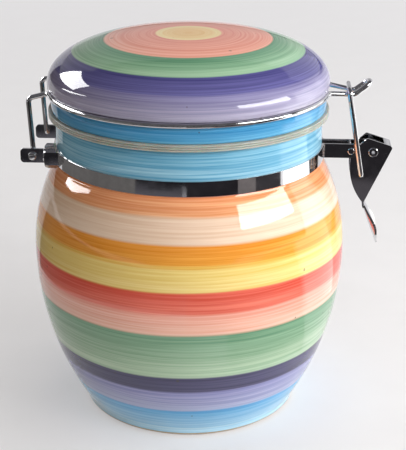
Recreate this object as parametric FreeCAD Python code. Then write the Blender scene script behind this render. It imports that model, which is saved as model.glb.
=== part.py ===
import FreeCAD, Part
import math
import os

os.makedirs("parts", exist_ok=True)

Vec = FreeCAD.Vector
up = Vec(0, 0, 1)
axis_x = Vec(1, 0, 0)
axis_y = Vec(0, 1, 0)
origin = Vec(0, 0, 0)

# A stoneware biscuit jar with a clamp lid. Millimetres, +Z up, +X towards the latch.
# The origin is on the jar's axis, in the plane of its foot.

# Jar body
belly_radius = 77.55
belly_height = 84.0          # height of the widest place above the foot
belly_lower_curve = 152.0
belly_upper_curve = 90.0
jar_wall = 5.5
jar_floor = 7.0
foot_width = 6.0
foot_recess = 1.6
foot_rounding = 3.6
floor_cove = 4.0             # rounding inside, where the wall meets the floor
throat_taper = 3.0
neck_radius = 65.4
neck_height = 21.44          # from the shoulder's edge to the mouth
neck_wall = 6.4
mouth_rounding = 1.6

# Gasket
gasket_height = 3.15
gasket_overhang = 3.0        # how far the lips stand out past the neck
gasket_lips = 3
lip_depth = 1.5
gasket_seat_gap = 0.05

# Lid
rim_overhang = 1.6           # of the rim past the neck
rim_height = 7.6
rim_edge = 0.9
dome_overhang = 0.5          # of the dome past the middle of the wire
dome_lift = 13.2             # from the gasket's top to where the dome starts to close in
dome_rise = 22.3
dome_side_power = 2.91
dome_top_power = 1.94
lid_wall = 5.2
plug_clearance = 4.0         # round the plug in the mouth, where the gasket grips
plug_wall = 5.2
plug_depth = 3.6             # how far the plug hangs below the jar's mouth

# Lid wire
wire_radius = 1.25
groove_clearance = 0.05
ring_outset = 1.0            # of the wire's middle past the rim
ring_height = 8.95           # above the gasket's top
hump_outset = 0.35           # where the ring's ends turn out into the hinge legs
hump_half_width = 17.0
leg_outset = 1.4             # of the legs' tops past the hinge axis
leg_drop = 2.2
nose_end_angle = 9.5         # where the ring turns out into the nose
nose_root_run = 2.0
nose_length = 12.3           # from the ring to the bend of the upturned end
nose_half_width = 3.9
nose_drop = 1.5
nose_tip_reach = 7.2
nose_tip_rise = 5.5
nose_tip_half_width = 4.0
nose_tip_bend = 3.6
peened_head_radius = 2.0
bend_radius = 2.6

# Band, hinge eyes and nuts
band_height = 7.1
band_thickness = 0.8
band_seat_gap = 0.03
band_lift = 0.04             # of the band above the shoulder's edge
hinge_outset = 8.8           # of the hinge axis past the neck
hinge_half_span = 20.25
eye_thickness = 1.5
eye_end_reach = 6.0          # from the hinge axis to the bar's end
eye_corner_radius = 1.8
eye_collar = 1.0             # of the round shank outside the nut
stud_end_gap = 0.2
stud_hole_radius = 2.655
pin_clearance = 0.07
pin_bend = 1.5
pin_side_clearance = 0.15
nut_width = 11.0
nut_outset = 2.5             # of the nut's outer face past the neck
nut_edge_run = 1.0           # length of the nut's chamfered end
stud_radius = 2.95
thread_clearance = 0.05
nut_seat_gap = 0.1

# Latch
latch_outer_width = 8.8
pivot_outset = 10.0          # of the lever's pivot past the nose's bend
tie_rivet_offset = 10.7      # inboard of the lever's pivot
tie_rivet_radius = 1.4
rivet_head_radius = 1.75
rivet_head_height = 0.8
pivot_tube_radius = 1.9
pivot_tube_bore = 0.9
pivot_head_radius = 2.4
pivot_head_height = 0.7
fixed_fit = 0.02
running_clearance = 0.06
sheet = 0.9
cheek_gap = 0.15
cover_length = 4.6
tab_length = 22.0
tab_half_width = 7.4
tab_slope = 20.8
tab_curl_radius = 13.0
tab_neck_half_width = 4.0
tab_neck_run = 3.0           # from the lever's waist down to the tab
tab_neck_offset = 0.3
tab_lap = 1.0                # of the tab's neck over the cheeks and the leaf

# Bail
bail_side_gap = 0.34         # beside the nose, where the crossbar lies over it
bail_hole = (-5.4, -11.7)    # from the lever's pivot, along X and Z
bail_pin_inset = 1.0
bail_seat_gap = 0.05
bail_inboard = 2.8           # of the crossbar inside the nose's bend

# Worked out from the sizes above
shoulder_top = belly_height + math.sqrt(
    belly_upper_curve ** 2 - (belly_upper_curve - (belly_radius - neck_radius)) ** 2)
mouth_z = shoulder_top + neck_height
mouth_radius = neck_radius - neck_wall
plug_radius = mouth_radius - plug_clearance
rim_radius = neck_radius + rim_overhang
ring_radius = rim_radius + ring_outset
dome_radius = ring_radius + dome_overhang
lid_bottom = mouth_z + gasket_seat_gap + gasket_height
groove_z = lid_bottom + ring_height
dome_base = lid_bottom + dome_lift
band_bottom = shoulder_top + band_lift
latch_z = band_bottom + band_height / 2
hinge_reach = neck_radius + hinge_outset
leg_reach = hinge_reach + leg_outset
nut_outer_reach = neck_radius + nut_outset
nose_reach = ring_radius + nose_length
pivot_reach = nose_reach + pivot_outset
bail_reach = nose_reach - bail_inboard
band_inner = neck_radius + band_seat_gap
band_outer = band_inner + band_thickness
flange_out = latch_outer_width / 2
cheek_in = flange_out + cheek_gap
cheek_out = cheek_in + sheet


def at(r, z):
    return Vec(r, 0, z)


def line(a, b):
    return Part.LineSegment(a, b).toShape()


def arc(a, b, c):
    return Part.Arc(a, b, c).toShape()


def turned(edges):
    """One closed outline in the XZ plane, spun about the jar's axis."""
    face = Part.Face(Part.Wire(Part.__sortEdges__(edges)))
    return face.revolve(origin, up, 360)


def cylinder_y(radius, x, z, y0, y1):
    return Part.makeCylinder(radius, y1 - y0, Vec(x, y0, z), axis_y)


def both_sides(make):
    """A shape and its mirror image across the plane Y = 0, as one."""
    shape = make()
    return shape.fuse(shape.mirror(origin, axis_y))


# Jar body

def belly_arc(top_z, bottom_z, inset):
    """The belly's two tangent arcs, moved inwards by inset, from top to bottom."""
    def point(curve, z):
        return at(belly_radius - curve + math.sqrt((curve - inset) ** 2 - (z - belly_height) ** 2), z)
    widest = at(belly_radius - inset, belly_height)
    top = point(belly_upper_curve, top_z)
    high = point(belly_upper_curve, (top_z + belly_height) / 2)
    low = point(belly_lower_curve, (bottom_z + belly_height) / 2)
    bottom = point(belly_lower_curve, bottom_z)
    return top, bottom, [arc(top, high, widest), arc(widest, low, bottom)]


def neck_join(inset):
    """Height at which the inset upper arc meets the neck wall of that inset."""
    flat = belly_upper_curve - belly_radius + neck_radius - inset
    return belly_height + math.sqrt((belly_upper_curve - inset) ** 2 - flat ** 2)


def jar_outer_edges():
    top, bottom, edges = belly_arc(shoulder_top, foot_rounding, 0.0)
    foot_edge = at(bottom.x - foot_rounding * 0.75, 0)
    round_mid = at(bottom.x - foot_rounding * 0.17, foot_rounding * 0.36)
    rim = at(neck_radius, mouth_z - mouth_rounding)
    edges += [line(rim, top), arc(bottom, round_mid, foot_edge)]
    return rim, foot_edge, edges


def make_jar_body():
    rim, foot_edge, edges = jar_outer_edges()
    wall_join = neck_join(0) - jar_wall * 0.6
    inner_top, inner_bottom, inner = belly_arc(wall_join, jar_floor + floor_cove, jar_wall)
    lip_in = at(mouth_radius, mouth_z - mouth_rounding)
    c = mouth_rounding
    k = c * (1 - math.sqrt(0.5))
    throat = at(mouth_radius, inner_top.z + throat_taper)
    floor_edge = at(inner_bottom.x - floor_cove, jar_floor)
    cove_in = floor_cove * (1 - math.sqrt(0.5))
    recess_out = foot_edge.x - foot_width
    edges += inner
    edges += [
        arc(rim, at(neck_radius - k, mouth_z - k), at(neck_radius - c, mouth_z)),
        line(at(neck_radius - c, mouth_z), at(mouth_radius + c, mouth_z)),
        arc(at(mouth_radius + c, mouth_z), at(mouth_radius + k, mouth_z - k), lip_in),
        line(lip_in, throat),
        line(throat, inner_top),
        arc(inner_bottom, at(inner_bottom.x - cove_in, jar_floor + cove_in), floor_edge),
        line(floor_edge, at(0, jar_floor)),
        line(at(0, jar_floor), at(0, foot_recess)),
        line(at(0, foot_recess), at(recess_out - foot_recess, foot_recess)),
        line(at(recess_out - foot_recess, foot_recess), at(recess_out, 0)),
        line(at(recess_out, 0), foot_edge),
    ]
    return turned(edges)


# Lid

def crown_point(t, inset):
    """A point on the dome's outline; t is 0 at the axis and 1 at the widest place."""
    a = t * math.pi / 2
    r = (dome_radius - inset) * math.sin(a) ** (2 / dome_side_power)
    z = (dome_rise - inset) * math.cos(a) ** (2 / dome_top_power)
    return at(r, dome_base + z)


def crown_curve(t_end, inset, count):
    """The dome's outline from the axis to t_end, level at the axis."""
    points = [crown_point(t_end * (i / count) ** 1.4, inset) for i in range(count)]
    points.append(crown_point(t_end, inset))
    spline = Part.BSplineCurve()
    last = -1 if t_end >= 1 else -0.6
    spline.interpolate(Points=points, InitialTangent=axis_x,
                       FinalTangent=Vec(0.0 if t_end >= 1 else 0.8, 0, last))
    return points[0], points[-1], spline.toShape()


def make_lid():
    apex, side, crown = crown_curve(1.0, 0.0, 9)
    hollow_radius = plug_radius - plug_wall
    share = (hollow_radius / (dome_radius - lid_wall)) ** (dome_side_power / 2)
    roof, shelf, roof_curve = crown_curve(math.asin(share) * 2 / math.pi, lid_wall, 6)
    rim_top = lid_bottom + rim_height
    dome_edge = at(dome_radius, groove_z + wire_radius)
    ledge = at(rim_radius, rim_top)
    plug_bottom = mouth_z - plug_depth
    edges = [
        crown,
        line(side, dome_edge),
        line(dome_edge, at(rim_radius, dome_edge.z)),
        line(at(rim_radius, dome_edge.z), ledge),
        line(ledge, at(rim_radius, lid_bottom + rim_edge)),
        line(at(rim_radius, lid_bottom + rim_edge), at(rim_radius - rim_edge, lid_bottom)),
        line(at(rim_radius - rim_edge, lid_bottom), at(plug_radius, lid_bottom)),
        line(at(plug_radius, lid_bottom), at(plug_radius, plug_bottom + rim_edge)),
        line(at(plug_radius, plug_bottom + rim_edge), at(plug_radius - rim_edge, plug_bottom)),
        line(at(plug_radius - rim_edge, plug_bottom), at(hollow_radius, plug_bottom)),
        line(at(hollow_radius, plug_bottom), shelf),
        roof_curve,
        line(roof, apex),
    ]
    body = turned(edges)
    groove = Part.makeTorus(ring_radius, wire_radius + groove_clearance, at(0, groove_z), up)
    return body.cut(groove)


def make_gasket():
    outer = neck_radius + gasket_overhang
    low = mouth_z + gasket_seat_gap
    pitch = gasket_height / gasket_lips
    corners = [at(plug_radius + 0.1, lid_bottom), at(plug_radius + 0.1, low)]
    for i in range(gasket_lips):
        base = low + i * pitch
        corners += [at(outer - lip_depth, base), at(outer, base + pitch * 0.3)]
        corners += [at(outer, base + pitch * 0.7)]
    corners.append(at(outer - lip_depth, lid_bottom))
    corners.append(corners[0])
    return Part.Face(Part.makePolygon(corners)).revolve(origin, up, 360)


# Bent wire

def bend(before, corner, after, radius):
    """The tangent arc that rounds one corner of a wire's centreline."""
    a = (before - corner).normalize()
    b = (after - corner).normalize()
    half = a.getAngle(b) / 2
    reach = radius / math.tan(half)
    inward = (a + b).normalize()
    middle = corner + inward * (radius / math.sin(half) - radius)
    return corner + a * reach, middle, corner + b * reach


def bent_run(points, radii):
    """Straight runs joined by tangent arcs through the given corners."""
    edges = []
    start = points[0]
    for i in range(1, len(points) - 1):
        into, middle, out = bend(points[i - 1], points[i], points[i + 1], radii[i - 1])
        edges += [line(start, into), arc(into, middle, out)]
        start = out
    edges.append(line(start, points[-1]))
    return edges


def round_wire(edges, start, direction):
    """A round wire swept along a tangent path."""
    profile = Part.Wire(Part.makeCircle(wire_radius, start, direction))
    return Part.Wire(edges).makePipeShell([profile], True, False)


def ring_point(angle):
    a = math.radians(angle)
    return Vec(ring_radius * math.cos(a), ring_radius * math.sin(a), groove_z)


def ring_tangent(angle):
    a = math.radians(angle)
    return Vec(-math.sin(a), math.cos(a), 0)


def mirrored(v):
    return Vec(v.x, -v.y, v.z)


def nose_corners():
    """The front half's corners where the ring turns out into the nose."""
    ring_end = ring_point(-nose_end_angle)
    nose_root = ring_end + ring_tangent(-nose_end_angle) * nose_root_run
    return ring_end, nose_root, Vec(nose_reach, -nose_half_width, groove_z - nose_drop)


def make_lid_wire():
    """One spring wire: hinge pin, leg, half ring, nose, half ring, leg, hinge pin."""
    ear_in = hinge_half_span - eye_thickness / 2
    leg_y = -(ear_in - pin_bend)
    pin_end = Vec(-hinge_reach, -(ear_in + eye_thickness + peened_head_radius * 0.5), latch_z)
    pin_corner = Vec(-hinge_reach, leg_y, latch_z)
    leg_top = Vec(-leg_reach, leg_y, groove_z - leg_drop)
    hump_out = ring_radius + hump_outset
    hump_reach = math.sqrt(hump_out ** 2 - hump_half_width ** 2)
    hump = Vec(-hump_reach, -hump_half_width, groove_z)
    hump_angle = math.degrees(math.atan2(hump_half_width, -hump_reach))
    start_angle = math.degrees(math.acos(ring_radius / hump_out)) - hump_angle
    end_angle = -nose_end_angle
    ring_start = ring_point(start_angle)
    ring_end, nose_root, nose_end = nose_corners()
    tip = nose_end + Vec(nose_tip_reach, nose_half_width - nose_tip_half_width, nose_tip_rise)
    leg_bends = [pin_bend, bend_radius, bend_radius]
    nose_bends = [bend_radius, bend_radius, nose_tip_bend]
    leg = bent_run([pin_end, pin_corner, leg_top, hump, ring_start], leg_bends)
    half_ring = [arc(ring_start, ring_point((start_angle + end_angle) / 2), ring_end)]
    nose = bent_run([ring_end, nose_root, nose_end, tip, mirrored(tip), mirrored(nose_end),
                     mirrored(nose_root), mirrored(ring_end)], nose_bends + nose_bends[::-1])
    other_ring = [arc(mirrored(ring_end), mirrored(ring_point((start_angle + end_angle) / 2)),
                      mirrored(ring_start))]
    other_leg = bent_run([mirrored(ring_start), mirrored(hump), mirrored(leg_top),
                          mirrored(pin_corner), mirrored(pin_end)], leg_bends[::-1])
    wire = round_wire(leg + half_ring + nose + other_ring + other_leg, pin_end, axis_y)
    return wire.fuse(both_sides(lambda: peened_head(pin_end))).removeSplitter()


def peened_head(pin_end):
    """The pin's end, hammered over outside the eye."""
    face_y = -(hinge_half_span + eye_thickness / 2 + pin_side_clearance)
    height = peened_head_radius * 0.8
    head = cylinder_y(peened_head_radius, pin_end.x, pin_end.z, face_y - height, face_y)
    rim = [e for e in head.Edges if abs(e.BoundBox.YMax - (face_y - height)) < 0.01
           and abs(e.BoundBox.YMin - (face_y - height)) < 0.01]
    return head.makeFillet(height * 0.8, rim)


# Band and hinge

def flange_plate():
    """One end of the band, turned out to carry the latch, its end rounded on the pivot."""
    root = math.sqrt(band_inner ** 2 - (flange_out - band_thickness) ** 2)
    length = pivot_reach - root
    plate = Part.makeBox(length, band_thickness, band_height,
                         Vec(root, -flange_out, band_bottom))
    nose = cylinder_y(band_height / 2, pivot_reach, latch_z, -flange_out,
                      -flange_out + band_thickness)
    return plate.fuse(nose)


def make_neck_band():
    """A strip round the neck with its two ends turned out side by side."""
    outer = Part.makeCylinder(band_outer, band_height, at(0, band_bottom), up)
    inner = Part.makeCylinder(band_inner, band_height, at(0, band_bottom), up)
    gap_half = flange_out - band_thickness
    gap = Part.makeBox(band_outer, 2 * gap_half, band_height, Vec(0, -gap_half, band_bottom))
    band = outer.cut(inner).cut(gap).fuse(both_sides(flange_plate)).removeSplitter()
    root_x = math.sqrt(band_outer ** 2 - flange_out ** 2)
    corners = [e for e in band.Edges if upright_at(e, root_x, flange_out)]
    band = band.makeFillet(band_thickness * 1.5, corners)
    tie_x = pivot_reach - tie_rivet_offset
    for x, r in ((tie_x, tie_rivet_radius + fixed_fit), (pivot_reach, pivot_tube_radius + running_clearance)):
        band = band.cut(cylinder_y(r, x, latch_z, -flange_out - 1, flange_out + 1))
    for side in (-1, 1):
        y = side * hinge_half_span
        band = band.cut(Part.makeCylinder(stud_hole_radius, band_outer, Vec(-band_outer, y, latch_z), axis_x))
    return band


def upright_at(edge, x, y):
    box = edge.BoundBox
    tall = box.ZLength > band_height * 0.99 and box.XLength < 0.01 and box.YLength < 0.01
    return tall and abs(box.XMin - x) < 0.2 and abs(abs(box.YMin) - y) < 0.2


def jar_clearance_solid():
    """The jar's outer form, grown a little, to shape what seats against it."""
    rim, foot_edge, edges = jar_outer_edges()
    edges += [line(rim, at(0, rim.z)), line(at(0, rim.z), at(0, 0)), line(at(0, 0), foot_edge)]
    grown = (belly_radius + nut_seat_gap) / belly_radius
    solid = turned(edges)
    return solid.scaled(grown, at(0, belly_height))


def make_hinge_nut(side):
    """A hexagon nut welded to the band, its inner end shaped to the band and shoulder."""
    y = side * hinge_half_span
    corner = nut_width / math.sqrt(3)
    inner_x = -math.sqrt(neck_radius ** 2 - (hinge_half_span + corner) ** 2)
    points = [Vec(-nut_outer_reach, y + corner * math.sin(math.radians(60 * i)),
                  latch_z + corner * math.cos(math.radians(60 * i))) for i in range(7)]
    prism = Part.Face(Part.makePolygon(points)).extrude(Vec(nut_outer_reach + inner_x, 0, 0))
    chamfer = Part.makeCone(corner * 0.88, corner * 1.6, corner * 0.9,
                            Vec(-nut_outer_reach, y, latch_z), axis_x)
    tail = Part.makeBox(nut_outer_reach, 2 * corner, 2 * corner,
                        Vec(-nut_outer_reach + nut_edge_run, y - corner, latch_z - corner))
    prism = prism.common(chamfer.fuse(tail))
    prism = prism.cut(Part.makeCylinder(band_outer, 2 * corner, at(0, latch_z - corner), up))
    prism = prism.cut(jar_clearance_solid())
    bore = Part.makeCylinder(stud_radius + thread_clearance, nut_outer_reach,
                             Vec(-nut_outer_reach, y, latch_z), axis_x)
    return prism.cut(bore)


def make_hinge_eye(side):
    """A flat bar with an eye for the wire's end, and a round shank in the nut."""
    y = side * hinge_half_span
    end_x = -hinge_reach - eye_end_reach
    bar = Part.makeBox(-nut_outer_reach - end_x, eye_thickness, band_height,
                       Vec(end_x, y - eye_thickness / 2, band_bottom))
    bar = bar.makeFillet(eye_corner_radius, [e for e in bar.Edges if end_edge(e, end_x)])
    stud_x = -math.sqrt((band_outer + stud_end_gap) ** 2 - (hinge_half_span - stud_radius) ** 2)
    shank_x = -nut_outer_reach - eye_collar
    shank = Part.makeCylinder(stud_radius, stud_x - shank_x, Vec(shank_x, y, latch_z), axis_x)
    eye = bar.fuse(shank).removeSplitter()
    hole = cylinder_y(wire_radius + pin_clearance, -hinge_reach, latch_z, y - eye_thickness, y + eye_thickness)
    return eye.cut(hole)


def end_edge(edge, end_x):
    box = edge.BoundBox
    return box.XMax < end_x + 0.01 and box.YLength > eye_thickness * 0.9


# Latch

def lever_point(u, w, y=0.0):
    return Vec(pivot_reach + u, y, latch_z + w)


def rivet_head(radius, height, x, y_face):
    """A domed head standing out towards -Y from the face at y_face."""
    head = cylinder_y(radius, x, latch_z, y_face - height, y_face)
    rim = [e for e in head.Edges if e.BoundBox.YMax < y_face - height + 0.01]
    return head.makeFillet(height * 0.7, rim)


def make_band_rivet():
    """The solid rivet that ties the band's two ends together."""
    x = pivot_reach - tie_rivet_offset
    shank = cylinder_y(tie_rivet_radius, x, latch_z, -flange_out, flange_out)
    heads = both_sides(lambda: rivet_head(rivet_head_radius, rivet_head_height, x, -flange_out))
    return shank.fuse(heads).removeSplitter()


def make_lever_pivot():
    """The hollow rivet that the lever turns on."""
    tube = cylinder_y(pivot_tube_radius, pivot_reach, latch_z, -cheek_out, cheek_out)
    heads = both_sides(lambda: rivet_head(pivot_head_radius, pivot_head_height, pivot_reach, -cheek_out))
    bore = cylinder_y(pivot_tube_bore, pivot_reach, latch_z, -2 * cheek_out, 2 * cheek_out)
    return tube.fuse(heads).cut(bore).removeSplitter()


lever_corner = (9.6, 2.9)
lever_apex = (-3.0, 6.9)
lever_waist_out = (-3.4, -25.6)
lever_waist_in = (-4.6, -25.6)


def corner_round(before, corner, after, radius):
    into, middle, out = bend(lever_point(*before), lever_point(*corner), lever_point(*after), radius)
    return into, out, arc(into, middle, out)


def make_cheek_face():
    """The side view of the lever: a hooked leaf that narrows to the waist."""
    shoulder = (-6.1, 4.2)
    stop_top = (-8.4, 0.9)
    stop_low = (-8.5, -1.6)
    hook = (-10.9, -3.6)
    belly = (-9.96, -15.2)
    c_in, c_out, c_arc = corner_round(lever_waist_out, lever_corner, lever_apex, 1.5)
    a_in, a_out, a_arc = corner_round(lever_corner, lever_apex, shoulder, 0.9)
    edges = [
        line(lever_point(*lever_waist_out), c_in), c_arc,
        line(c_out, a_in), a_arc,
        line(a_out, lever_point(*shoulder)),
        line(lever_point(*shoulder), lever_point(*stop_top)),
        line(lever_point(*stop_top), lever_point(*stop_low)),
        line(lever_point(*stop_low), lever_point(*hook)),
        arc(lever_point(*hook), lever_point(*belly), lever_point(*lever_waist_in)),
        line(lever_point(*lever_waist_in), lever_point(*lever_waist_out)),
    ]
    return Part.Face(Part.Wire(edges))


def channel_cutter():
    """What is taken out between the cheeks, leaving the web and its short cover."""
    corner = lever_point(*lever_corner)
    apex = lever_point(*lever_apex)
    waist = lever_point(*lever_waist_out)
    down = (waist - corner).normalize()
    along = (apex - corner).normalize()
    in_from_web = Vec(down.z, 0, -down.x)
    in_from_top = Vec(-along.z, 0, along.x)
    half = down.getAngle(along) / 2
    inner_corner = corner + (down + along).normalize() * (sheet / math.sin(half))
    cover_end = corner + along * cover_length
    web_low = waist + in_from_web * sheet + down * 6 * sheet
    clear = corner.z - waist.z
    points = [inner_corner, cover_end + in_from_top * sheet, cover_end - in_from_top * 3 * sheet,
              apex + Vec(-clear, 0, clear / 3), waist + Vec(-clear, 0, -clear / 4), web_low, inner_corner]
    face = Part.Face(Part.makePolygon([p + Vec(0, -cheek_in, 0) for p in points]))
    return face.extrude(Vec(0, 2 * cheek_in, 0))


def tab_frame():
    """Where the tab starts below the waist, with its directions down and outwards."""
    slope = math.radians(tab_slope)
    run = Vec(math.sin(slope), 0, -math.cos(slope))
    out = Vec(math.cos(slope), 0, math.sin(slope))
    middle = (lever_waist_out[0] + lever_waist_in[0]) / 2
    return lever_point(middle + tab_neck_offset, lever_waist_out[1] - tab_neck_run), run, out


def make_tab_neck():
    """The strip that carries on from the web, below the waist, into the tab."""
    root, run, out = tab_frame()
    top = root + Vec(-tab_neck_offset, 0, tab_neck_run + tab_lap)
    low = root + run * tab_lap
    half = sheet / 2
    across = Vec(half, 0, 0)
    points = [top - across, top + across, root + across, low + out * half, low - out * half,
              root - across, top - across]
    face = Part.Face(Part.makePolygon([p - axis_y * tab_neck_half_width for p in points]))
    return face.extrude(Vec(0, 2 * tab_neck_half_width, 0))


def make_tab():
    """The finger tab: a leaf of sheet, its edges curled away from the jar."""
    root, run, out = tab_frame()
    centre = root + out * tab_curl_radius - run * tab_lap
    shell = Part.makeCylinder(tab_curl_radius + sheet / 2, tab_length + 2 * tab_lap, centre, run)
    shell = shell.cut(Part.makeCylinder(tab_curl_radius - sheet / 2, tab_length + 2 * tab_lap, centre, run))

    def leaf(s, half):
        return root + run * s + Vec(0, half, 0) - out * sheet
    side = [leaf(0, tab_neck_half_width), leaf(tab_length * 0.22, tab_half_width * 0.78),
            leaf(tab_length * 0.5, tab_half_width), leaf(tab_length * 0.8, tab_half_width * 0.62),
            leaf(tab_length, 0)]
    right = Part.BSplineCurve()
    right.interpolate(side)
    left = Part.BSplineCurve()
    left.interpolate([mirrored(p) for p in side])
    outline = Part.Wire([right.toShape(), left.toShape(), line(side[0], mirrored(side[0]))])
    return shell.common(Part.Face(outline).extrude(out * tab_curl_radius))


def make_lever():
    cheeks = make_cheek_face()
    cheeks.translate(Vec(0, -cheek_out, 0))
    channel = cheeks.extrude(Vec(0, 2 * cheek_out, 0)).cut(channel_cutter())
    lever = channel.fuse(make_tab_neck()).fuse(make_tab()).removeSplitter()
    lever = lever.cut(cylinder_y(pivot_tube_radius + fixed_fit, pivot_reach, latch_z, -2 * cheek_out, 2 * cheek_out))
    hole = lever_point(*bail_hole)
    return lever.cut(cylinder_y(wire_radius + running_clearance, hole.x, hole.z, -2 * cheek_out, 2 * cheek_out))


def make_bail():
    """The closed loop of wire that the lever pulls down over the nose."""
    foot = lever_point(*bail_hole)
    ring_end, nose_root, nose_end = nose_corners()
    share = (bail_reach - nose_root.x) / (nose_end.x - nose_root.x)
    under = nose_root + (nose_end - nose_root) * share
    flare = math.atan2(nose_end.y - nose_root.y, nose_end.x - nose_root.x)
    bail_half_width = -under.y + wire_radius / math.cos(flare) + bail_side_gap + wire_radius
    top_z = under.z + 2 * wire_radius + bail_seat_gap
    inner = cheek_in - bail_pin_inset
    points = [Vec(foot.x, -inner, foot.z), Vec(foot.x, -bail_half_width, foot.z),
              Vec(bail_reach, -bail_half_width, top_z), Vec(bail_reach, bail_half_width, top_z),
              Vec(foot.x, bail_half_width, foot.z), Vec(foot.x, inner, foot.z)]
    radii = [wire_radius * 1.5, bend_radius, bend_radius, wire_radius * 1.5]
    return round_wire(bent_run(points, radii), points[0], axis_y)


pieces = {
    "jar_body": make_jar_body(),
    "lid": make_lid(),
    "gasket": make_gasket(),
    "lid_wire": make_lid_wire(),
    "neck_band": make_neck_band(),
    "hinge_nut_front": make_hinge_nut(-1),
    "hinge_nut_rear": make_hinge_nut(1),
    "hinge_eye_front": make_hinge_eye(-1),
    "hinge_eye_rear": make_hinge_eye(1),
    "band_rivet": make_band_rivet(),
    "lever": make_lever(),
    "lever_pivot": make_lever_pivot(),
    "bail": make_bail(),
}

for name, shape in pieces.items():
    shape.exportStep("parts/" + name + ".step")
    print(name, "solids", len(shape.Solids), "valid", shape.isValid(), "volume", round(shape.Volume, 1))
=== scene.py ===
import math

import bmesh
import bpy
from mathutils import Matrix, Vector


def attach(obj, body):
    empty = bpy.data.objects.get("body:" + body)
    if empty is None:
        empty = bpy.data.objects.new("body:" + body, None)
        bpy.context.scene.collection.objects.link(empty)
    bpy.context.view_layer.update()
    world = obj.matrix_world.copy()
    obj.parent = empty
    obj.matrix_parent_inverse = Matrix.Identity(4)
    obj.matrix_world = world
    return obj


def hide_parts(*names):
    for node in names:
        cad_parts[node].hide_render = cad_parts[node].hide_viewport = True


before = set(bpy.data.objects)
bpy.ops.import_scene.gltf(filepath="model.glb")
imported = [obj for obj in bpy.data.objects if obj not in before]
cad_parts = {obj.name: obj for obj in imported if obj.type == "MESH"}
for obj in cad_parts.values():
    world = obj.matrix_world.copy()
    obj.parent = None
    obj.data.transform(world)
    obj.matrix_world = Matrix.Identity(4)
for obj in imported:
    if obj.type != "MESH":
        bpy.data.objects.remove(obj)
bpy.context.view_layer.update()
print("frame loaded:", len(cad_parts), "nodes")

mm = 0.001


# Small helpers

def toLinear(hexColour):
    parts = [int(hexColour[i:i + 2], 16) / 255 for i in (1, 3, 5)]
    linear = [p / 12.92 if p <= 0.04045 else ((p + 0.055) / 1.055) ** 2.4 for p in parts]
    return (*linear, 1.0)


def addNode(tree, kind, inputs=None, stops=(), **settings):
    # Adds one node. An input is a value, a socket, or a node whose first live output is linked.
    node = tree.nodes.new(kind)
    for name, value in settings.items():
        setattr(node, name, value)
    if stops:
        elements = node.color_ramp.elements
        elements[0].position, elements[0].color = stops[0][0], toLinear(stops[0][1])
        elements[1].position, elements[1].color = stops[-1][0], toLinear(stops[-1][1])
        for position, colour in stops[1:-1]:
            elements.new(position).color = toLinear(colour)
    for key, value in (inputs or {}).items():
        live = [s for s in node.inputs if s.enabled and s.name == key]
        socket = live[0] if live else node.inputs[key]
        if isinstance(value, bpy.types.Node):
            value = [s for s in value.outputs if s.enabled][0]
        if isinstance(value, bpy.types.NodeSocket):
            tree.links.new(value, socket)
        else:
            socket.default_value = value
    return node


def newMaterial(name):
    material = bpy.data.materials.new(name)
    material.use_nodes = True
    material.node_tree.nodes.clear()
    return material, material.node_tree


# Painted glaze

glazeBrush = {
    "streakAround": 80.0,   # mm, how far one bristle's line runs
    "streakAcross": 1.0,    # mm, a bristle's line, coarser than the real 0.4 so that it shows
    "streakSpan": (0.38, 0.62),  # the part of the noise that runs from deep to pale
    "streakShare": 0.7,     # of the step from deep to pale, what the bristles make
    "washAround": 0.7,      # scale round the jar against the bristles', so its lines run further
    "washAcross": 5.0,      # mm, the slower change from one turn of the wheel to the next
    "washSpan": (0.35, 0.65),
    "washShare": 0.3,       # of the step from deep to pale, what the wash makes
    "edgeWander": 0.8,      # mm, how far a stripe's edge strays
    "wanderScale": 14.0,    # per metre, so that an edge strays over some 70 mm
    "edgeFeather": 0.5,     # mm, how ragged the bristles leave it
    "edgeBlend": 0.4,       # mm, half of the soft step between two colours
    "speckSpacing": 12.0,   # mm
    "speckRadius": 1.0,     # mm
    "speckStrength": 0.55,
    "speckColour": "#4A4436",
    "reliefDepth": 0.03,    # mm
    "reliefStrength": 0.1,
    "roughness": 0.04,
    "ior": 1.52,
}

# Stripes are measured in mm down from the top, and on the lid outwards from the axis as well.
# Each has its start, then a deep and a pale tone there and a deep and a pale tone at its end.
jarPaint = {
    "top": 150.6,
    "outwards": 0.0,
    "stripes": [
        (0.0, "#3F8AB0", "#8AC1D8", "#60A2C2", "#B0D6E4"),
        (21.1, "#DD7742", "#F2AC7C", "#DA8450", "#F3B98C"),
        (29.9, "#E2BE9F", "#F0D6C0", "#E3C4A8", "#F3DDCA"),
        (41.9, "#DE8526", "#EFA64C", "#D98A2C", "#F0AE50"),
        (50.9, "#DDAF50", "#EEC870", "#D9A23C", "#E8B858"),
        (52.5, "#E2C267", "#F0D98F", "#DFBE66", "#EFDA96"),
        (63.5, "#CE4A3A", "#E26E5E", "#D65E4E", "#EA8875"),
        (74.4, "#DE8672", "#EDAE9C", "#E4AA94", "#F1CAB8"),
        (85.5, "#528365", "#79A385", "#9ABA9A", "#C2D6BC"),
        (109.8, "#363351", "#4E4B6E", "#3A3756", "#575477"),
        (118.9, "#7372A8", "#9A9BC6", "#969BC3", "#BABFDB"),
        (131.9, "#3A92CC", "#6CB6E4", "#9CD0E8", "#CDE9F2"),
        (151.0, "#7DB9DA", "#B4DAEA", "#86BFDD", "#BADDEC"),
    ],
}
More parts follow.
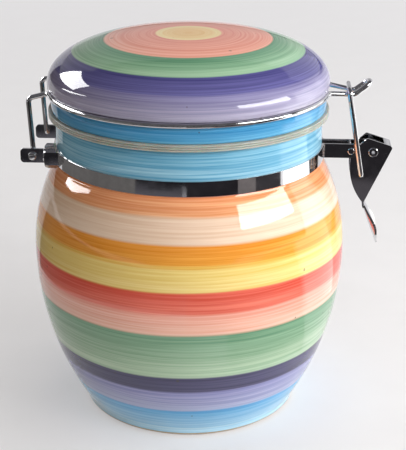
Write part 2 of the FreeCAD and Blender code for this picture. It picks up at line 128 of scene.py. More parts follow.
lidPaint = {
    "top": 189.35,
    "outwards": 1.0,
    "stripes": [
        (0.0, "#E3B266", "#EFC888", "#E8BF78", "#F2D49B"),
        (12.6, "#EBD08C", "#F3DFA6", "#ECD190", "#F4E0AA"),
        (15.9, "#D67864", "#E99C86", "#E18E78", "#F2B6A2"),
        (43.2, "#3F7A58", "#5F9674", "#83AE8C", "#ABCCAC"),
        (64.0, "#3F3C74", "#59568F", "#4D4A80", "#6D6AA2"),
        (78.6, "#67638F", "#8884AE", "#9692AC", "#BAB6CA"),
        (94.2, "#2B7BAE", "#589FCA", "#3E8BBA", "#74B6D8"),
        (104.0, "#7DB9DA", "#B4DAEA", "#86BFDD", "#BADDEC"),
    ],
}


def stripeStops(stripes, blend):
    span = stripes[-1][0]
    deep, pale = [], []
    for stripe, following in zip(stripes, stripes[1:]):
        start = (stripe[0] + blend) / span if deep else 0.0
        end = (following[0] - blend) / span if following is not stripes[-1] else 1.0
        deep += [(start, stripe[1]), (end, stripe[3])]
        pale += [(start, stripe[2]), (end, stripe[4])]
    return deep, pale


def brushedGlaze(name, paint):
    # Underglaze colour brushed on at the wheel, under clear gloss glaze: the eye sees fine rings of
    # bristle marks, each colour running from deep to pale, below one sharp wet reflection.
    brush = glazeBrush
    material, tree = newMaterial(name)
    place = addNode(tree, "ShaderNodeTexCoord").outputs["Object"]
    split = addNode(tree, "ShaderNodeSeparateXYZ", {0: place}).outputs
    level = addNode(tree, "ShaderNodeVectorMath", {0: place, 1: (1.0, 1.0, 0.0)}, operation="MULTIPLY")
    radius = addNode(tree, "ShaderNodeVectorMath", {0: level}, operation="LENGTH")
    fall = addNode(tree, "ShaderNodeMath", {0: split["Z"], 1: -1 / mm, 2: paint["top"]},
                   operation="MULTIPLY_ADD")
    down = addNode(tree, "ShaderNodeMath", {0: radius, 1: paint["outwards"] / mm, 2: fall},
                   operation="MULTIPLY_ADD")
    onForm = addNode(tree, "ShaderNodeCombineXYZ", {0: split["X"], 1: split["Y"], 2: down})

    around = 1 / (brush["streakAround"] * mm)
    bristleScale = (around, around, 1 / brush["streakAcross"])
    bristleAt = addNode(tree, "ShaderNodeVectorMath", {0: onForm, 1: bristleScale}, operation="MULTIPLY")
    bristles = addNode(tree, "ShaderNodeTexNoise",
                       {"Vector": bristleAt, "Scale": 1.0, "Detail": 3.0, "Roughness": 0.65})
    washScale = (around * brush["washAround"], around * brush["washAround"], 1 / brush["washAcross"])
    washAt = addNode(tree, "ShaderNodeVectorMath", {0: onForm, 1: washScale}, operation="MULTIPLY")
    wash = addNode(tree, "ShaderNodeTexNoise", {"Vector": washAt, "Scale": 1.0, "Detail": 1.0})

    wander = addNode(tree, "ShaderNodeTexNoise",
                     {"Vector": place, "Scale": brush["wanderScale"], "Detail": 1.0})
    stray = addNode(tree, "ShaderNodeMapRange",
                    {"Value": wander, "To Min": -brush["edgeWander"], "To Max": brush["edgeWander"]})
    ragged = addNode(tree, "ShaderNodeMapRange",
                     {"Value": bristles, "To Min": -brush["edgeFeather"], "To Max": brush["edgeFeather"]})
    strayed = addNode(tree, "ShaderNodeMath", {0: down, 1: stray}, operation="ADD")
    edge = addNode(tree, "ShaderNodeMath", {0: strayed, 1: ragged}, operation="ADD")
    span = paint["stripes"][-1][0]
    factor = addNode(tree, "ShaderNodeMath", {0: edge, 1: span}, operation="DIVIDE", use_clamp=True)
    deepStops, paleStops = stripeStops(paint["stripes"], brush["edgeBlend"])
    deep = addNode(tree, "ShaderNodeValToRGB", {"Fac": factor}, deepStops)
    pale = addNode(tree, "ShaderNodeValToRGB", {"Fac": factor}, paleStops)
    low, high = brush["streakSpan"]
    fine = addNode(tree, "ShaderNodeMapRange",
                   {"Value": bristles, "From Min": low, "From Max": high, "To Max": brush["streakShare"]})
    low, high = brush["washSpan"]
    slow = addNode(tree, "ShaderNodeMapRange",
                   {"Value": wash, "From Min": low, "From Max": high, "To Max": brush["washShare"]})
    tone = addNode(tree, "ShaderNodeMath", {0: fine, 1: slow}, operation="ADD")
    colour = addNode(tree, "ShaderNodeMix", {"Factor": tone, "A": deep, "B": pale}, data_type="RGBA")

    cells = addNode(tree, "ShaderNodeTexVoronoi",
                    {"Vector": place, "Scale": 1 / (brush["speckSpacing"] * mm)})
    chance = addNode(tree, "ShaderNodeSeparateColor", {0: cells.outputs["Color"]})
    size = addNode(tree, "ShaderNodeMath", {0: chance, 1: brush["speckRadius"] / brush["speckSpacing"]},
                   operation="MULTIPLY")
    inside = addNode(tree, "ShaderNodeMath", {0: cells.outputs["Distance"], 1: size}, operation="LESS_THAN")
    speck = addNode(tree, "ShaderNodeMath", {0: inside, 1: brush["speckStrength"]}, operation="MULTIPLY")
    specked = addNode(tree, "ShaderNodeMix",
                      {"Factor": speck, "A": colour, "B": toLinear(brush["speckColour"])}, data_type="RGBA")

    relief = addNode(tree, "ShaderNodeBump", {
        "Strength": brush["reliefStrength"], "Distance": brush["reliefDepth"] * mm, "Height": bristles})
    shader = addNode(tree, "ShaderNodeBsdfPrincipled", {
        "Base Color": specked, "Roughness": brush["roughness"], "IOR": brush["ior"], "Normal": relief})
    addNode(tree, "ShaderNodeOutputMaterial", {"Surface": shader})
    return material


def plainGlaze(name, deepTone, paleTone):
    # Undecorated clear glaze over pale stoneware: warm white with faint clouding of some 17 mm.
    material, tree = newMaterial(name)
    place = addNode(tree, "ShaderNodeTexCoord").outputs["Object"]
    cloud = addNode(tree, "ShaderNodeTexNoise", {"Vector": place, "Scale": 60.0, "Detail": 3.0})
    tint = addNode(tree, "ShaderNodeValToRGB", {"Fac": cloud}, [(0.3, deepTone), (0.7, paleTone)])
    relief = addNode(tree, "ShaderNodeBump", {"Strength": 0.2, "Distance": 0.00005, "Height": cloud})
    shader = addNode(tree, "ShaderNodeBsdfPrincipled", {
        "Base Color": tint, "Roughness": 0.1, "IOR": 1.52, "Normal": relief})
    addNode(tree, "ShaderNodeOutputMaterial", {"Surface": shader})
    return material


def bareStoneware(name, deepTone, paleTone):
    # Unglazed fired clay on the foot ring: dry, slightly gritty buff, with grit of about 0.4 mm.
    material, tree = newMaterial(name)
    place = addNode(tree, "ShaderNodeTexCoord").outputs["Object"]
    grit = addNode(tree, "ShaderNodeTexNoise", {"Vector": place, "Scale": 2500.0, "Detail": 3.0})
    tint = addNode(tree, "ShaderNodeValToRGB", {"Fac": grit}, [(0.3, deepTone), (0.7, paleTone)])
    relief = addNode(tree, "ShaderNodeBump", {"Strength": 0.5, "Distance": 0.0001, "Height": grit})
    shader = addNode(tree, "ShaderNodeBsdfPrincipled", {
        "Base Color": tint, "Roughness": 0.85, "Normal": relief})
    addNode(tree, "ShaderNodeOutputMaterial", {"Surface": shader})
    return material


def chromePlate(name, roughness, smudge, deepTone, paleTone):
    # Bright chrome plate over drawn or pressed steel: a mirror, with handling smudges of some 6 mm.
    material, tree = newMaterial(name)
    place = addNode(tree, "ShaderNodeTexCoord").outputs["Object"]
    haze = addNode(tree, "ShaderNodeTexNoise", {"Vector": place, "Scale": 160.0, "Detail": 3.0})
    rough = addNode(tree, "ShaderNodeMapRange", {
        "Value": haze, "From Min": 0.35, "From Max": 0.7, "To Min": roughness, "To Max": roughness + smudge})
    tint = addNode(tree, "ShaderNodeValToRGB", {"Fac": haze}, [(0.3, deepTone), (0.7, paleTone)])
    shader = addNode(tree, "ShaderNodeBsdfPrincipled", {
        "Base Color": tint, "Metallic": 1.0, "Roughness": rough})
    addNode(tree, "ShaderNodeOutputMaterial", {"Surface": shader})
    return material


def siliconeRubber(name, deepTone, paleTone):
    # Moulded silicone: milky grey, softly lit through its thin lips, with a dull sheen.
    material, tree = newMaterial(name)
    place = addNode(tree, "ShaderNodeTexCoord").outputs["Object"]
    cloud = addNode(tree, "ShaderNodeTexNoise", {"Vector": place, "Scale": 90.0, "Detail": 2.0})
    tint = addNode(tree, "ShaderNodeValToRGB", {"Fac": cloud}, [(0.3, deepTone), (0.7, paleTone)])
    shader = addNode(tree, "ShaderNodeBsdfPrincipled", {
        "Base Color": tint, "Roughness": 0.42, "IOR": 1.42,
        "Subsurface Weight": 0.35, "Subsurface Scale": 0.002})
    addNode(tree, "ShaderNodeOutputMaterial", {"Surface": shader})
    return material


materials = {
    "jarPaint": brushedGlaze("brushedJarGlaze", jarPaint),
    "lidPaint": brushedGlaze("brushedLidGlaze", lidPaint),
    "inside": plainGlaze("plainWhiteGlaze", "#E6DFD0", "#F2EDE2"),
    "foot": bareStoneware("bareStoneware", "#A98F72", "#CDB898"),
    "wire": chromePlate("chromedWire", 0.05, 0.06, "#CFCFD1", "#E2E2E4"),
    "plate": chromePlate("chromedStrip", 0.04, 0.06, "#C9C9CB", "#DDDDDF"),
    "silicone": siliconeRubber("milkySilicone", "#999F97", "#B0B6AE"),
}
print("materials made:", len(materials))


# Outlines, in millimetres from the jar's axis and from the plane of its foot

def arcThrough(a, b, c, count):
    (ax, ay), (bx, by), (cx, cy) = a, b, c
    d = 2 * (ax * (by - cy) + bx * (cy - ay) + cx * (ay - by))
    aa, bb, cc = ax * ax + ay * ay, bx * bx + by * by, cx * cx + cy * cy
    ox = (aa * (by - cy) + bb * (cy - ay) + cc * (ay - by)) / d
    oy = (aa * (cx - bx) + bb * (ax - cx) + cc * (bx - ax)) / d
    radius = math.hypot(ax - ox, ay - oy)
    first = math.atan2(ay - oy, ax - ox)
    turn = math.atan2(cy - oy, cx - ox) - first
    middle = math.atan2(by - oy, bx - ox) - first
    if turn * ((middle + math.pi) % (2 * math.pi) - math.pi) < 0:
        turn -= math.copysign(2 * math.pi, turn)
    angles = [first + turn * i / count for i in range(count + 1)]
    return [(ox + radius * math.cos(a), oy + radius * math.sin(a)) for a in angles]


def softened(points, radius, count=5):
    # rounds every corner of an open outline, with count + 1 points at each
    result = [points[0]]
    for before, corner, after in zip(points, points[1:], points[2:]):
        a = Vector(before) - Vector(corner)
        b = Vector(after) - Vector(corner)
        reach = min(radius, a.length * 0.45, b.length * 0.45)
        start = Vector(corner) + a.normalized() * reach
        end = Vector(corner) + b.normalized() * reach
        for i in range(count + 1):
            t = i / count
            result.append(tuple(start * (1 - t) ** 2 + Vector(corner) * 2 * t * (1 - t) + end * t * t))
    result.append(points[-1])
    return result


jarForm = {
    "bellyRadius": 77.55, "bellyHeight": 84.0, "lowerCurve": 152.0, "upperCurve": 90.0,
    "wall": 5.5, "floor": 7.0, "floorCove": 4.0, "footRounding": 3.6, "footWidth": 6.0, "footRecess": 1.6,
    "footInset": 0.75, "footMiddle": (0.17, 0.36),  # shares of the foot's rounding
    "footSoftening": 0.8,
    "neckRadius": 65.4, "mouthRadius": 59.0, "mouthHeight": 150.6, "mouthRounding": 1.6, "throatTaper": 3.0,
    "throatDrop": 0.6,  # how far under the shoulder the throat ends, as a share of the wall
    "footSteps": 8, "bellySteps": 90, "mouthSteps": 8, "insideSteps": 60, "floorSteps": 6,
    "stepsAround": 192, "ripple": 0.3, "ripplePitch": 9.0,
}


def bellyPoint(form, height, inset=0.0):
    curve = form["upperCurve"] if height > form["bellyHeight"] else form["lowerCurve"]
    rise = height - form["bellyHeight"]
    return (form["bellyRadius"] - curve + math.sqrt((curve - inset) ** 2 - rise ** 2), height)


def jarOutline(form):
    shoulder = form["bellyHeight"] + math.sqrt(
        form["upperCurve"] ** 2 - (form["upperCurve"] - form["bellyRadius"] + form["neckRadius"]) ** 2)
    rounding = form["footRounding"]
    low = bellyPoint(form, rounding)
    inset, rise = form["footMiddle"]
    footEdge = (low[0] - rounding * form["footInset"], 0.0)
    ringIn = footEdge[0] - form["footWidth"]
    under = softened([(0.0, form["footRecess"]), (ringIn - form["footRecess"], form["footRecess"]),
                      (ringIn, 0.0), footEdge], form["footSoftening"])
    footSteps = form["footSteps"]
    foot = arcThrough(footEdge, (low[0] - rounding * inset, rounding * rise), low, footSteps)
    steps = form["bellySteps"]
    belly = [bellyPoint(form, rounding + (shoulder - rounding) * i / steps) for i in range(1, steps + 1)]
    top = form["mouthHeight"]
    wallJoin = shoulder - form["wall"] * form["throatDrop"]
    inner = bellyPoint(form, wallJoin, form["wall"])
    mouthSteps = form["mouthSteps"]
    mouth = softened([belly[-1], (form["neckRadius"], top), (form["mouthRadius"], top),
                      (form["mouthRadius"], inner[1] + form["throatTaper"]), inner],
                     form["mouthRounding"], mouthSteps)[1:-1]
    cove = form["floorCove"]
    fall = form["floor"] + cove - wallJoin
    steps = form["insideSteps"]
    inside = [bellyPoint(form, wallJoin + fall * i / steps, form["wall"]) for i in range(steps + 1)]
    edge = inside[-1][0]
    bend = cove * (1 - math.sqrt(0.5))
    steps = form["floorSteps"]
    level = form["floor"]
    floor = arcThrough(inside[-1], (edge - bend, level + bend), (edge - cove, level), steps)[1:]
    floor += [((edge - cove) * (1 - i / steps), level) for i in range(1, steps + 1)]

    # the paint starts halfway up the foot's rounding, and ends halfway round the mouth's inner edge
    paintFrom = len(under) + footSteps // 2
    insideFrom = len(under) + footSteps + len(belly) + mouthSteps + 1 + mouthSteps // 2
    marks = {"Paint From": paintFrom, "Inside From": insideFrom}
    return under + foot[1:] + belly + mouth + inside + floor, marks


lidForm = {
    "domeRadius": 68.5, "domeBase": 167.0, "domeRise": 22.3, "sidePower": 2.91, "topPower": 1.94,
    "wall": 5.2, "rimRadius": 67.0, "rimTop": 161.4, "rimBottom": 153.8, "rimEdge": 0.9, "plugRadius": 55.0,
    "plugWall": 5.2, "plugBottom": 147.0, "grooveRadius": 1.3, "grooveRing": 68.0, "grooveHeight": 162.75,
    "grooveStop": 0.35,  # radians short of the groove's top
    "lipInset": 0.05, "lipRise": 0.5,
    "roofSteps": 40, "roofCrowding": 1.4,  # above 1, the rows stand closer near the axis
    "edgeSteps": 5, "grooveSteps": 12, "crownSteps": 90,
    "stepsAround": 192, "ripple": 0.25, "ripplePitch": 9.0,
}


def domePoint(form, t, inset=0.0):
    # t runs from 0 at the crown to 1 at the dome's base
    a = t * math.pi / 2
    return ((form["domeRadius"] - inset) * math.sin(a) ** (2 / form["sidePower"]),
            form["domeBase"] + (form["domeRise"] - inset) * math.cos(a) ** (2 / form["topPower"]))


def lidOutline(form):
    hollow = form["plugRadius"] - form["plugWall"]
    share = (hollow / (form["domeRadius"] - form["wall"])) ** (form["sidePower"] / 2)
    shelf = math.asin(share) * 2 / math.pi
    steps, crowding = form["roofSteps"], form["roofCrowding"]
    roof = [domePoint(form, shelf * (i / steps) ** crowding, form["wall"]) for i in range(steps + 1)]
    edgeSteps = form["edgeSteps"]
    below = softened([roof[-1], (hollow, form["plugBottom"]), (form["plugRadius"], form["plugBottom"]),
                      (form["plugRadius"], form["rimBottom"]), (form["rimRadius"], form["rimBottom"]),
                      (form["rimRadius"], form["rimTop"])], form["rimEdge"], edgeSteps)
    groove = form["grooveRadius"]
    inward = form["rimRadius"] - form["grooveRing"]
    first = math.atan2(-math.sqrt(groove ** 2 - inward ** 2), inward)
    sweep = first + math.pi * 1.5 - form["grooveStop"]
    arc = []
    for i in range(form["grooveSteps"] + 1):
        a = first - sweep * i / form["grooveSteps"]
        arc.append((form["grooveRing"] + groove * math.cos(a), form["grooveHeight"] + groove * math.sin(a)))
    lip = [(form["domeRadius"] - form["lipInset"], form["grooveHeight"] + groove + form["lipRise"])]
    steps = form["crownSteps"]
    crown = [domePoint(form, 1 - i / steps) for i in range(steps + 1)]

    # the paint starts halfway round the rim's lower edge, after three softened corners
    paintFrom = len(roof) + 3 * (edgeSteps + 1) + edgeSteps // 2
    return roof + below[1:-1] + arc + lip + crown, {"Paint From": paintFrom}


gasketForm = {
    "inner": 55.1, "outer": 68.4, "bottom": 150.65, "top": 153.8,
    "lips": 3, "lipDepth": 1.5, "lipShare": 0.42,  # a lip's rounding as a share of the pitch
    "lipSteps": 6, "stepsAround": 192,
}


def gasketOutline(form):
    pitch = (form["top"] - form["bottom"]) / form["lips"]
    lip = pitch * form["lipShare"]
    root = form["outer"] - form["lipDepth"]
    points = [(form["inner"], form["top"]), (form["inner"], form["bottom"])]
    for i in range(form["lips"]):
        base = form["bottom"] + i * pitch
        points.append((root, base))
        for k in range(form["lipSteps"] + 1):
            a = math.pi * (k / form["lipSteps"] - 0.5)
            points.append((form["outer"] - lip + lip * math.cos(a), base + pitch / 2 + lip * math.sin(a)))
    return points + [(root, form["top"]), (form["inner"], form["top"])]


# Geometry Nodes: a form thrown on the wheel, its outline spun about the jar's axis

wheelWork = {
    "rippleFade": 50.0,    # mm from the axis where the rings reach their full depth
    "mergeWithin": 0.005,  # mm, closes the seam and the poles
}


def wheelTree():
    tree = bpy.data.node_groups.new("thrownOnTheWheel", "GeometryNodeTree")
    for name, kind in (("Geometry", "Geometry"), ("Steps Around", "Int"), ("Ripple", "Float"),
                       ("Ripple Pitch", "Float"), ("Paint From", "Int"), ("Inside From", "Int"),
                       ("Under", "Material"), ("Outside", "Material"), ("Inside", "Material")):
        tree.interface.new_socket(name, in_out="INPUT", socket_type="NodeSocket" + kind)
    tree.interface.new_socket("Geometry", in_out="OUTPUT", socket_type="NodeSocketGeometry")
    given = addNode(tree, "NodeGroupInput").outputs
    rows = addNode(tree, "GeometryNodeAttributeDomainSize", {0: given["Geometry"]}).outputs["Point Count"]
    columns = addNode(tree, "ShaderNodeMath", {0: given["Steps Around"], 1: 1.0}, operation="ADD")
    grid = addNode(tree, "GeometryNodeMeshGrid", {"Vertices X": columns, "Vertices Y": rows})
    index = addNode(tree, "GeometryNodeInputIndex")
    row = addNode(tree, "ShaderNodeMath", {0: index, 1: rows}, operation="MODULO")
    passed = addNode(tree, "ShaderNodeMath", {0: index, 1: rows}, operation="DIVIDE")
    column = addNode(tree, "ShaderNodeMath", {0: passed}, operation="FLOOR")
    turn = addNode(tree, "ShaderNodeMath", {0: column, 1: given["Steps Around"]}, operation="DIVIDE")
    angle = addNode(tree, "ShaderNodeMath", {0: turn, 1: math.tau}, operation="MULTIPLY")
    cosine = addNode(tree, "ShaderNodeMath", {0: angle}, operation="COSINE")
    sine = addNode(tree, "ShaderNodeMath", {0: angle}, operation="SINE")
    drawn = addNode(tree, "GeometryNodeSampleIndex",
                    {"Geometry": given["Geometry"], "Value": addNode(tree, "GeometryNodeInputPosition"),
                     "Index": row}, data_type="FLOAT_VECTOR")
    outline = addNode(tree, "ShaderNodeSeparateXYZ", {0: drawn}).outputs

    # the potter's fingers leave faint rings that fade towards the axis
    rise = addNode(tree, "ShaderNodeMath", {0: outline["Z"], 1: given["Ripple Pitch"]}, operation="DIVIDE")
    onWheel = addNode(tree, "ShaderNodeCombineXYZ", {0: cosine, 1: sine, 2: rise})
    rings = addNode(tree, "ShaderNodeTexNoise", {"Vector": onWheel, "Scale": 1.0, "Detail": 1.0})
    swell = addNode(tree, "ShaderNodeMapRange", {"Value": rings, "To Min": -0.5, "To Max": 0.5})
    depth = addNode(tree, "ShaderNodeMath", {0: swell, 1: given["Ripple"]}, operation="MULTIPLY")
    share = addNode(tree, "ShaderNodeMath", {0: outline["X"], 1: 1 / (wheelWork["rippleFade"] * mm)},
                    operation="MULTIPLY", use_clamp=True)
    radius = addNode(tree, "ShaderNodeMath", {0: depth, 1: share, 2: outline["X"]}, operation="MULTIPLY_ADD")
    x = addNode(tree, "ShaderNodeMath", {0: radius, 1: cosine}, operation="MULTIPLY")
    y = addNode(tree, "ShaderNodeMath", {0: radius, 1: sine}, operation="MULTIPLY")
    spun = addNode(tree, "ShaderNodeCombineXYZ", {0: x, 1: y, 2: outline["Z"]})
    placed = addNode(tree, "GeometryNodeSetPosition", {"Geometry": grid, "Position": spun})
    numbered = addNode(tree, "GeometryNodeStoreNamedAttribute",
                       {"Geometry": placed, "Name": "outlineRow", "Value": row},
                       data_type="FLOAT", domain="POINT")
    closed = addNode(tree, "GeometryNodeMergeByDistance",
                     {0: numbered, "Distance": wheelWork["mergeWithin"] * mm})
    smooth = addNode(tree, "GeometryNodeSetShadeSmooth", {0: closed})
    real = addNode(tree, "GeometryNodeRealizeInstances", {0: smooth})
    here = addNode(tree, "GeometryNodeInputNamedAttribute", {"Name": "outlineRow"}, data_type="FLOAT")
    outside = addNode(tree, "ShaderNodeMath", {0: here, 1: given["Paint From"]}, operation="GREATER_THAN")
    inside = addNode(tree, "ShaderNodeMath", {0: here, 1: given["Inside From"]}, operation="GREATER_THAN")
    bare = addNode(tree, "GeometryNodeSetMaterial", {0: real, "Material": given["Under"]})
    painted = addNode(tree, "GeometryNodeSetMaterial",
                      {0: bare, "Selection": outside, "Material": given["Outside"]})
    lined = addNode(tree, "GeometryNodeSetMaterial",
                    {0: painted, "Selection": inside, "Material": given["Inside"]})
    addNode(tree, "NodeGroupOutput", {0: lined})
    return tree


# Geometry Nodes: round wire that follows a bent path, with its two ends hammered over

def wireTree():
    tree = bpy.data.node_groups.new("bentRoundWire", "GeometryNodeTree")
    for name, kind in (("Geometry", "Geometry"), ("Wire Radius", "Float"), ("Steps Around", "Int"),
                       ("Head Radius", "Float"), ("Head Flatness", "Float"), ("Material", "Material")):
        tree.interface.new_socket(name, in_out="INPUT", socket_type="NodeSocket" + kind)
    tree.interface.new_socket("Geometry", in_out="OUTPUT", socket_type="NodeSocketGeometry")
    given = addNode(tree, "NodeGroupInput").outputs
    path = addNode(tree, "GeometryNodeMeshToCurve", {0: given["Geometry"]})
    section = addNode(tree, "GeometryNodeCurvePrimitiveCircle",
                      {"Resolution": given["Steps Around"], "Radius": given["Wire Radius"]})
    swept = addNode(tree, "GeometryNodeCurveToMesh",
                    {"Curve": path, "Profile Curve": section, "Fill Caps": True})
    ends = addNode(tree, "GeometryNodeCurveEndpointSelection", {"Start Size": 1, "End Size": 1})
    head = addNode(tree, "GeometryNodeMeshUVSphere",
                   {"Segments": 24, "Rings": 12, "Radius": given["Head Radius"]})
    squeeze = addNode(tree, "ShaderNodeCombineXYZ", {0: 1.0, 1: given["Head Flatness"], 2: 1.0})
    pressed = addNode(tree, "GeometryNodeTransform", {"Geometry": head, "Scale": squeeze})
    heads = addNode(tree, "GeometryNodeInstanceOnPoints",
                    {"Points": path, "Selection": ends, "Instance": pressed})
    joined = addNode(tree, "GeometryNodeJoinGeometry", {0: swept})
    tree.links.new(heads.outputs[0], joined.inputs[0])
    smooth = addNode(tree, "GeometryNodeSetShadeSmooth", {0: joined})
    real = addNode(tree, "GeometryNodeRealizeInstances", {0: smooth})
    coated = addNode(tree, "GeometryNodeSetMaterial", {0: real, "Material": given["Material"]})
    addNode(tree, "NodeGroupOutput", {0: coated})
    return tree


def pathObject(name, points):
    mesh = bpy.data.meshes.new(name)
    mesh.from_pydata([Vector(p) * mm for p in points], [(i, i + 1) for i in range(len(points) - 1)], [])
    thing = bpy.data.objects.new(name, mesh)
    bpy.context.scene.collection.objects.link(thing)
    return thing


def grown(thing, tree, values):
    # runs a node tree on the object and keeps the plain mesh that comes out, faced outwards
    modifier = thing.modifiers.new(tree.name, "NODES")
    modifier.node_group = tree
    sockets = {s.name: s.identifier for s in tree.interface.items_tree if s.in_out == "INPUT"}
    for name, value in values.items():
        modifier[sockets[name]] = value
    bpy.context.view_layer.update()
    ready = thing.evaluated_get(bpy.context.evaluated_depsgraph_get())
    mesh = bpy.data.meshes.new_from_object(ready)
    thing.modifiers.clear()
    thing.data = mesh
    bm = bmesh.new()
    bm.from_mesh(mesh)
    bmesh.ops.recalc_face_normals(bm, faces=bm.faces)
    bm.to_mesh(mesh)
    bm.free()
    return thing


def standFor(thing, node, body):
    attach(thing, body)
    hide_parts(node)


wheel = wheelTree()
bending = wireTree()


def thrown(name, node, body, slotName, form, outline, marks, under, outside, inside):
    # a form with no marks is all outside, and one with no ripple is moulded and not thrown
    thing = pathObject(name, [(r, 0.0, z) for r, z in outline])
    values = {"Steps Around": form["stepsAround"], "Ripple": form.get("ripple", 0.0) * mm,
              "Ripple Pitch": form.get("ripplePitch", 9.0) * mm, "Paint From": 0, "Inside From": len(outline),
              "Under": under, "Outside": outside, "Inside": inside}
    grown(thing, wheel, {**values, **marks})
    standFor(thing, node, body)


thrown("stonewareJar", "jar_body", "jar", "jar_glaze", jarForm, *jarOutline(jarForm),
       materials["foot"], materials["jarPaint"], materials["inside"])
thrown("domedLid", "lid", "lid", "lid_glaze", lidForm, *lidOutline(lidForm),
       materials["inside"], materials["lidPaint"], materials["inside"])
thrown("lippedGasket", "gasket", "lid", "silicone", gasketForm, gasketOutline(gasketForm), {},
       materials["silicone"], materials["silicone"], materials["silicone"])
print("thrown forms made")


# Bent wire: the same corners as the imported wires, in millimetres

wireForm = {
    "radius": 1.25, "stepsAround": 20, "bendRadius": 2.6,
    "ringRadius": 68.0, "ringHeight": 162.75, "ringSteps": 80,
    "hingeReach": 74.2, "hingeHeight": 132.75, "pinBend": 1.5, "legHalfSpan": 18.0, "pinHalfSpan": 21.95,
    "legReach": 75.6, "legDrop": 2.2, "humpOutset": 0.35, "humpHalfWidth": 17.0,
    "noseEndAngle": 9.5, "noseRootRun": 2.0, "noseReach": 80.3, "noseHalfWidth": 3.9, "noseDrop": 1.5,
    "tipReach": 7.2, "tipRise": 5.5, "tipHalfWidth": 4.0, "tipBend": 3.6,
    "headRadius": 2.0, "headFlatness": 0.4,
}
bailForm = {
    "pivot": (90.3, 132.75), "hole": (-5.4, -11.7), "pinHalfSpan": 3.6, "sideGap": 0.34, "inboard": 2.8,
    "seatGap": 0.05, "pinBend": 1.875, "headRadius": 1.24, "headFlatness": 0.4,
}


def bentPath(corners, radii, steps=10):
    # straight runs joined by tangent arcs
    points = [Vector(corners[0])]
    for before, corner, after, radius in zip(corners, corners[1:], corners[2:], radii):
        a = (Vector(before) - Vector(corner)).normalized()
        b = (Vector(after) - Vector(corner)).normalized()
        half = a.angle(b) / 2
        centre = Vector(corner) + (a + b).normalized() * (radius / math.sin(half))
        start = Vector(corner) + a * (radius / math.tan(half))
        end = Vector(corner) + b * (radius / math.tan(half))
        sweep = math.pi - 2 * half
        for i in range(steps + 1):
            t = i / steps
            first, last = math.sin((1 - t) * sweep), math.sin(t * sweep)
            points.append(centre + ((start - centre) * first + (end - centre) * last) / math.sin(sweep))
    points.append(Vector(corners[-1]))
    return points


def mirrored(points):
    return [Vector((p[0], -p[1], p[2])) for p in reversed(points)]


def ringPoint(form, degrees):
    a = math.radians(degrees)
    return Vector((form["ringRadius"] * math.cos(a), form["ringRadius"] * math.sin(a), form["ringHeight"]))


def noseCorners(form):
    # the front half's corners where the ring turns out into the nose
    a = math.radians(form["noseEndAngle"])
    ringEnd = ringPoint(form, -form["noseEndAngle"])
    root = ringEnd + Vector((math.sin(a), math.cos(a), 0.0)) * form["noseRootRun"]
    end = Vector((form["noseReach"], -form["noseHalfWidth"], form["ringHeight"] - form["noseDrop"]))
    return ringEnd, root, end


def lidWirePath(form):
    ringEnd, root, end = noseCorners(form)
    tip = end + Vector((form["tipReach"], form["noseHalfWidth"] - form["tipHalfWidth"], form["tipRise"]))
    tipMiddle = Vector((tip.x, 0.0, tip.z))
    humpOut = form["ringRadius"] + form["humpOutset"]
    humpX = -math.sqrt(humpOut ** 2 - form["humpHalfWidth"] ** 2)
    hump = Vector((humpX, -form["humpHalfWidth"], form["ringHeight"]))
    humpAngle = math.degrees(math.atan2(form["humpHalfWidth"], hump.x))
    ringFrom = math.degrees(math.acos(form["ringRadius"] / humpOut)) - humpAngle
    legTop = (-form["legReach"], -form["legHalfSpan"], form["ringHeight"] - form["legDrop"])
    pinCorner = (-form["hingeReach"], -form["legHalfSpan"], form["hingeHeight"])
    pinEnd = (-form["hingeReach"], -form["pinHalfSpan"], form["hingeHeight"])
    leg = bentPath([pinEnd, pinCorner, legTop, hump, ringPoint(form, ringFrom)],
                   [form["pinBend"], form["bendRadius"], form["bendRadius"]])
    steps, ringSweep = form["ringSteps"], -form["noseEndAngle"] - ringFrom
    ring = [ringPoint(form, ringFrom + ringSweep * i / steps) for i in range(1, steps)]
    nose = bentPath([ringEnd, root, end, tip, tipMiddle],
                    [form["bendRadius"], form["bendRadius"], form["tipBend"]])
    front = leg + ring + nose
    return front + mirrored(front)[1:]


def bailPath(form, wire):
    root, end = noseCorners(wire)[1:]
    under = root.lerp(end, (wire["noseReach"] - form["inboard"] - root.x) / (end.x - root.x))
    flare = math.atan2(end.y - root.y, end.x - root.x)
    halfWidth = -under.y + wire["radius"] * (1 + 1 / math.cos(flare)) + form["sideGap"]
    top = under.z + 2 * wire["radius"] + form["seatGap"]
    footX, footZ = form["pivot"][0] + form["hole"][0], form["pivot"][1] + form["hole"][1]
    corners = [(footX, -form["pinHalfSpan"], footZ), (footX, -halfWidth, footZ), (under.x, -halfWidth, top),
               (under.x, 0.0, top)]
    front = bentPath(corners, [form["pinBend"], wire["bendRadius"]])
    return front + mirrored(front)[1:]


def bentWire(name, node, body, points, form):
    thing = pathObject(name, points)
    grown(thing, bending, {
        "Wire Radius": wireForm["radius"] * mm, "Steps Around": wireForm["stepsAround"],
        "Head Radius": form["headRadius"] * mm, "Head Flatness": form["headFlatness"],
        "Material": materials["wire"]})
    standFor(thing, node, body)


bentWire("lidWire", "lid_wire", "lid", lidWirePath(wireForm), wireForm)
bentWire("bailWire", "bail", "bail", bailPath(bailForm, wireForm), bailForm)
print("wires bent")


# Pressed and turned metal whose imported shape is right: a merged copy with smooth sides and eased edges

